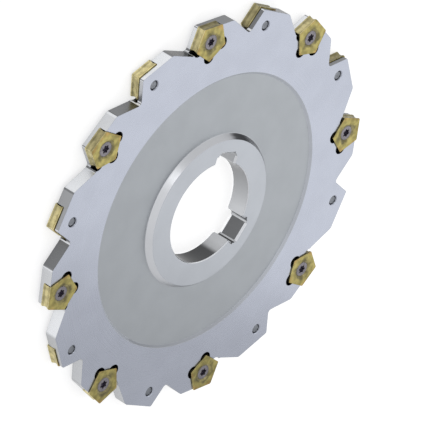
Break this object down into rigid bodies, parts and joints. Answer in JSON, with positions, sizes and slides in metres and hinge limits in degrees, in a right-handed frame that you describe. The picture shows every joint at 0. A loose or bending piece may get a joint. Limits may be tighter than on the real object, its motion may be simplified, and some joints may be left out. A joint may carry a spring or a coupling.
{
  "type": "side and face cutter",
  "caption": "Disc-shaped side and face milling cutter with a raised hub, a keyed bore and a toothed rim that carries gold coated pentagonal inserts screwed in turn to both faces.",
  "frame": {"origin": "centre of the bore, in the middle of the cutter's width", "axes": "+Z along the bore, out of the front face; +Y through the first keyway and a front tooth"},
  "size_m": [0.1598, 0.1598, 0.008],
  "materials": {
    "body_steel": "satin nickel plated steel, ground rim, finely blasted web",
    "insert_coating": "satin gold coloured hard coating on carbide",
    "screw_steel": "dark purple-grey burnished steel"
  },
  "bodies": {
    "root": {"cutter_body": "body_steel", "front_insert_1": "insert_coating", "front_insert_2": "insert_coating", "front_insert_3": "insert_coating", "front_insert_4": "insert_coating", "front_insert_5": "insert_coating", "front_insert_6": "insert_coating", "front_insert_7": "insert_coating", "front_insert_8": "insert_coating", "rear_insert_1": "insert_coating", "rear_insert_2": "insert_coating", "rear_insert_3": "insert_coating", "rear_insert_4": "insert_coating", "rear_insert_5": "insert_coating", "rear_insert_6": "insert_coating", "rear_insert_7": "insert_coating", "rear_insert_8": "insert_coating", "insert_screws": "screw_steel"}
  },
  "joints": []
}
